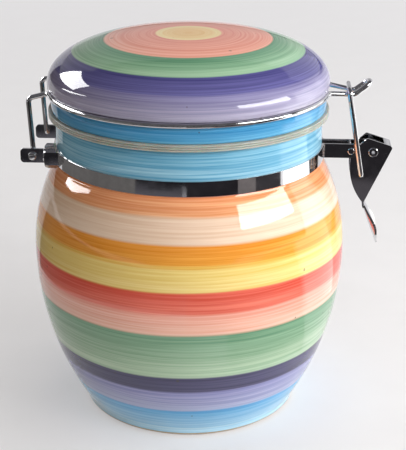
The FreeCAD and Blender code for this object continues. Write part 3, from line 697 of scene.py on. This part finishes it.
metalEase = {
    "mergeWithin": 0.002,  # mm
    "flatWithin": 0.4, "smoothUnder": 28, "bevelOver": 40,  # degrees
    "openEdge": 3.0,       # radians, given to an edge that lies on one face only
    "bevelSteps": 2,
}
metalPieces = [
    # name, node, body, slot, how far the edges are eased in mm
    ("neckBand", "neck_band", "jar", "band_steel", 0.12),
    ("hingeNutFront", "hinge_nut_front", "jar", "band_steel", 0.15),
    ("hingeNutRear", "hinge_nut_rear", "jar", "band_steel", 0.15),
    ("hingeEyeFront", "hinge_eye_front", "jar", "band_steel", 0.15),
    ("hingeEyeRear", "hinge_eye_rear", "jar", "band_steel", 0.15),
    ("bandRivet", "band_rivet", "jar", "band_steel", 0.0),
    ("latchLever", "lever", "lever", "lever_steel", 0.14),
    ("leverPivot", "lever_pivot", "lever", "lever_steel", 0.0),
]


def easedCopy(name, node, body, slotName, bevel):
    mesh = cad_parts[node].data.copy()
    mesh.name = name
    bm = bmesh.new()
    bm.from_mesh(mesh)
    bmesh.ops.remove_doubles(bm, verts=bm.verts, dist=metalEase["mergeWithin"] * mm)
    bmesh.ops.dissolve_limit(bm, angle_limit=math.radians(metalEase["flatWithin"]),
                             verts=bm.verts, edges=bm.edges)
    for face in bm.faces:
        face.smooth = True
    smoothUnder = math.radians(metalEase["smoothUnder"])
    for edge in bm.edges:
        edge.smooth = edge.calc_face_angle(metalEase["openEdge"]) < smoothUnder
    bm.to_mesh(mesh)
    bm.free()
    mesh.materials.clear()
    mesh.materials.append(materials["plate"])
    thing = bpy.data.objects.new(name, mesh)
    bpy.context.scene.collection.objects.link(thing)
    if bevel:
        eased = thing.modifiers.new("easedEdges", "BEVEL")
        eased.width = bevel * mm
        eased.segments = metalEase["bevelSteps"]
        eased.limit_method = "ANGLE"
        eased.angle_limit = math.radians(metalEase["bevelOver"])
        eased.harden_normals = True
    standFor(thing, node, body)


for piece in metalPieces:
    easedCopy(*piece)
print("metal pieces made")


# Studio: pale paper, softboxes, and cards that only reflections see

studio = {
    "floorSize": 6.0,         # metres, and so are the next four
    "floorHeight": -0.0002,
    "cardHeight": 0.0004,
    "windowDistance": 1.5,
    "aim": (0.0, 0.0, 0.11),  # the point that lamps and windows stand round
    "cardSteps": 12,          # pieces that a curved card is cut into
    "windowSteps": 8,
    "airColour": "#D8CCBC",
    "airStrength": 0.31,
    "backgroundColour": "#E4E3E6",
    "roomStops": [(0.0, "#4A4846"), (0.6, "#4A4846"), (0.75, "#66656A"), (1.0, "#5C5B60")],
}
paperFloor = {
    "deepTone": "#E8E7E8", "paleTone": "#ECEBEC", "glow": "#EEEDEF",
    "near": 0.15, "nearShare": 0.46,  # metres from the axis, and how much of the glow is seen there
    "far": 1.3, "farShare": 0.8,
}
lamps = {
    # azimuth 0 is towards the latch and -90 towards the camera
    "rightBox": {"azimuth": -21, "elevation": 24, "distance": 0.9,
                 "width": 0.78, "height": 0.30, "radiance": 10.0},
    "rightWall": {"azimuth": 42, "elevation": 8, "distance": 1.4,
                  "width": 1.5, "height": 1.0, "radiance": 1.8},
    "topFill": {"azimuth": 60, "elevation": 64, "distance": 1.1,
                "width": 0.9, "height": 0.6, "radiance": 2.1},
    "frontFill": {"azimuth": -58, "elevation": 30, "distance": 1.2,
                  "width": 0.9, "height": 0.6, "radiance": 2.6},
}
windows = {
    # what the glaze mirrors: azimuth, lowest and highest elevation at each upright edge
    "rightWindow": {"edges": [(-47, 16, 29), (0, 11, 24)], "colour": "#FFFFFF", "strength": 12.0},
    "leftWindow": {"edges": [(135, 17, 36), (167, 20, 40)], "colour": "#FFFFFF", "strength": 12.0},
    "leftSliver": {"edges": [(156, 8, 10), (169, 11, 15), (185, 19, 21)],
                   "colour": "#FFFFFF", "strength": 12.0},
    "rightPaper": {"edges": [(6, -5, 22), (26, -5, 21)], "colour": "#FFFDFA", "strength": 2.5},
    "rightSweep": {"edges": [(26, -5, 21), (46, -5, 17)], "colour": "#F7F6F6", "strength": 1.5},
    "paleSweep": {"edges": [(46, -5, 17), (66, -5, 6), (100, -5, 5), (118, -5, 15), (124, -5, 17)],
                  "colour": "#F1F0F3", "strength": 0.85},
    "leftVeil": {"edges": [(112, 12, 42), (134, 17, 42)], "colour": "#F1F0F3", "strength": 0.5},
    "backVeil": {"edges": [(72, 7, 42), (112, 7, 42)], "colour": "#F1F0F3", "strength": 0.55},
    "rightVeil": {"edges": [(34, 22, 42), (72, 8, 42)], "colour": "#F1F0F3", "strength": 0.85},
}
floorCards = {
    # what the glaze mirrors low down: sectors of cloth and paper on the floor, in metres from the axis
    "darkFloor": {"fromAzimuth": -88, "toAzimuth": -48, "near": 0.37, "far": 1.6, "colour": "#2C2A2D"},
    "smokyFloor": {"fromAzimuth": -88, "toAzimuth": -48, "near": 0.16, "far": 0.37, "colour": "#5A565A"},
    "nearFloor": {"fromAzimuth": -64, "toAzimuth": -7, "near": 0.10, "far": 0.16, "colour": "#4A474A"},
    "midFloor": {"fromAzimuth": -48, "toAzimuth": -33, "near": 0.16, "far": 1.6, "colour": "#857E7D"},
    "cheekFloor": {"fromAzimuth": -33, "toAzimuth": -9, "near": 0.16, "far": 1.6, "colour": "#444144"},
    "brightStrip": {"fromAzimuth": -91, "toAzimuth": -88, "near": 0.21, "far": 0.44, "colour": "#A5A4A8"},
    "greyFloor": {"fromAzimuth": -128, "toAzimuth": -91, "near": 0.21, "far": 0.44, "colour": "#66646A"},
    "dimFloor": {"fromAzimuth": -128, "toAzimuth": -88, "near": 0.44, "far": 1.6, "colour": "#242326"},
    "leftFloor": {"fromAzimuth": -215, "toAzimuth": -128, "near": 0.21, "far": 1.6, "colour": "#6E6B69"},
    "rightFloor": {"fromAzimuth": -6, "toAzimuth": 30, "near": 0.17, "far": 1.6, "colour": "#FFFFFF",
                   "strength": 2.0},
    "backFloor": {"fromAzimuth": 30, "toAzimuth": 124, "near": 0.17, "far": 1.6, "colour": "#ECEBEE"},
}


def fromAxis(azimuth, elevation):
    a, e = math.radians(azimuth), math.radians(elevation)
    return Vector((math.cos(e) * math.cos(a), math.cos(e) * math.sin(a), math.sin(e)))


def fromAim(azimuth, elevation, distance):
    return Vector(studio["aim"]) + fromAxis(azimuth, elevation) * distance


def softbox(name, azimuth, elevation, distance, width, height, radiance):
    lamp = bpy.data.lights.new(name, "AREA")
    lamp.shape = "RECTANGLE"
    lamp.size = width
    lamp.size_y = height
    lamp.energy = radiance * width * height * math.pi
    thing = bpy.data.objects.new(name, lamp)
    thing.location = fromAim(azimuth, elevation, distance)
    thing.rotation_euler = fromAxis(azimuth, elevation).to_track_quat("Z", "Y").to_euler()
    thing.visible_camera = thing.visible_glossy = False
    bpy.context.scene.collection.objects.link(thing)


def stagePiece(name, corners, faces, material, cardOnly=False):
    mesh = bpy.data.meshes.new(name)
    mesh.from_pydata(corners, [], faces)
    mesh.materials.append(material)
    thing = bpy.data.objects.new(name, mesh)
    bpy.context.scene.collection.objects.link(thing)
    if cardOnly:
        thing.visible_camera = thing.visible_diffuse = False
        thing.visible_shadow = thing.visible_transmission = False


def seamlessPaper(name, look):
    # Matt paper with a breath of tooth. Further off, the camera and mirrors see it lit by the rest of the
    # studio, so that it stays pale, and near the jar it keeps the jar's shadow.
    material, tree = newMaterial(name)
    place = addNode(tree, "ShaderNodeTexCoord").outputs["Object"]
    tooth = addNode(tree, "ShaderNodeTexNoise", {"Vector": place, "Scale": 30.0, "Detail": 2.0})
    tint = addNode(tree, "ShaderNodeValToRGB", {"Fac": tooth},
                   [(0.3, look["deepTone"]), (0.7, look["paleTone"])])
    rays = addNode(tree, "ShaderNodeLightPath").outputs
    mirrors = addNode(tree, "ShaderNodeMath", {0: rays["Is Glossy Ray"], 1: rays["Is Transmission Ray"]},
                      operation="MAXIMUM")
    seen = addNode(tree, "ShaderNodeMath", {0: rays["Is Camera Ray"], 1: mirrors}, operation="MAXIMUM")
    away = addNode(tree, "ShaderNodeVectorMath", {0: place}, operation="LENGTH")
    share = addNode(tree, "ShaderNodeMapRange", {
        "Value": away, "From Min": look["near"], "From Max": look["far"],
        "To Min": look["nearShare"], "To Max": look["farShare"]})
    amount = addNode(tree, "ShaderNodeMath", {0: seen, 1: share}, operation="MULTIPLY")
    paper = addNode(tree, "ShaderNodeBsdfPrincipled", {"Base Color": tint, "Roughness": 0.8})
    lit = addNode(tree, "ShaderNodeEmission", {"Color": toLinear(look["glow"]), "Strength": 1.0})
    both = addNode(tree, "ShaderNodeMixShader", {0: amount, 1: paper, 2: lit})
    addNode(tree, "ShaderNodeOutputMaterial", {"Surface": both})
    return material


def plainCard(name, colour, strength=1.0):
    # A flat card of one even brightness: a window, pale paper or dark cloth to a mirror. It lights nothing.
    material, tree = newMaterial(name)
    card = addNode(tree, "ShaderNodeEmission", {"Color": toLinear(colour), "Strength": strength})
    addNode(tree, "ShaderNodeOutputMaterial", {"Surface": card})
    return material


def mirrorCard(name, pairs, colour, strength=1.0):
    # a band of faces between pairs of corners
    corners = [corner for pair in pairs for corner in pair]
    faces = [(i * 2, i * 2 + 1, i * 2 + 3, i * 2 + 2) for i in range(len(pairs) - 1)]
    stagePiece(name, corners, faces, plainCard(name, colour, strength), cardOnly=True)


def sectorPairs(fromAzimuth, toAzimuth, near, far):
    steps, height = studio["cardSteps"], studio["cardHeight"]
    turns = [math.radians(fromAzimuth + (toAzimuth - fromAzimuth) * i / steps) for i in range(steps + 1)]
    return [[(r * math.cos(a), r * math.sin(a), height) for r in (near, far)] for a in turns]


def windowPairs(edges):
    steps, pairs = studio["windowSteps"], []
    for left, right in zip(edges, edges[1:]):
        for i in range(steps + 1):
            azimuth, low, high = (x + (y - x) * i / steps for x, y in zip(left, right))
            pairs.append([fromAim(azimuth, elevation, studio["windowDistance"]) for elevation in (low, high)])
    return pairs


for name, lamp in lamps.items():
    softbox(name, **lamp)

reach, down = studio["floorSize"] / 2, studio["floorHeight"]
stagePiece("paperFloor", [(-reach, -reach, down), (reach, -reach, down), (reach, reach, down),
                          (-reach, reach, down)], [(0, 1, 2, 3)], seamlessPaper("seamlessPaper", paperFloor))
for name, card in floorCards.items():
    pairs = sectorPairs(card["fromAzimuth"], card["toAzimuth"], card["near"], card["far"])
    mirrorCard(name, pairs, card["colour"], card.get("strength", 1.0))
for name, card in windows.items():
    mirrorCard(name, windowPairs(card["edges"]), card["colour"], card["strength"])

# the air lights the jar evenly, mirrors see a dim room, and the camera sees the pale backdrop
world = bpy.data.worlds.new("studioAir")
bpy.context.scene.world = world
world.use_nodes = True
air = world.node_tree
air.nodes.clear()
rays = addNode(air, "ShaderNodeLightPath").outputs
direction = addNode(air, "ShaderNodeTexCoord").outputs["Generated"]
upward = addNode(air, "ShaderNodeSeparateXYZ", {0: direction}).outputs["Z"]
lift = addNode(air, "ShaderNodeMapRange", {"Value": upward, "From Min": -1.0, "From Max": 1.0})
room = addNode(air, "ShaderNodeValToRGB", {"Fac": lift}, studio["roomStops"])
ambient = addNode(air, "ShaderNodeBackground",
                  {"Color": toLinear(studio["airColour"]), "Strength": studio["airStrength"]})
mirroredRoom = addNode(air, "ShaderNodeBackground", {"Color": room, "Strength": 1.0})
shown = addNode(air, "ShaderNodeBackground", {"Color": toLinear(studio["backgroundColour"]), "Strength": 1.0})
throughGlass = addNode(air, "ShaderNodeMath", {0: rays["Is Camera Ray"], 1: rays["Is Transmission Ray"]},
                       operation="MAXIMUM")
inMirrors = addNode(air, "ShaderNodeMixShader", {0: rays["Is Glossy Ray"], 1: ambient, 2: mirroredRoom})
wholeAir = addNode(air, "ShaderNodeMixShader", {0: throughGlass, 1: inMirrors, 2: shown})
addNode(air, "ShaderNodeOutputWorld", {"Surface": wholeAir})

cameraPlace = {
    "at": (0.0436, -0.6001, 0.3204), "target": (0.0069, 0.00042, 0.09065),  # metres
    "lens": 112.7, "sensor": 36.0,  # mm
}
lens = bpy.data.cameras.new("photoCamera")
lens.lens = cameraPlace["lens"]
lens.sensor_fit = "HORIZONTAL"
lens.sensor_width = cameraPlace["sensor"]
lens.clip_start = 0.01
camera = bpy.data.objects.new("photoCamera", lens)
camera.location = cameraPlace["at"]
look = Vector(cameraPlace["target"]) - camera.location
camera.rotation_euler = look.to_track_quat("-Z", "Y").to_euler()
bpy.context.scene.collection.objects.link(camera)
bpy.context.scene.camera = camera
bpy.context.scene.view_settings.view_transform = "Standard"
print("studio set")
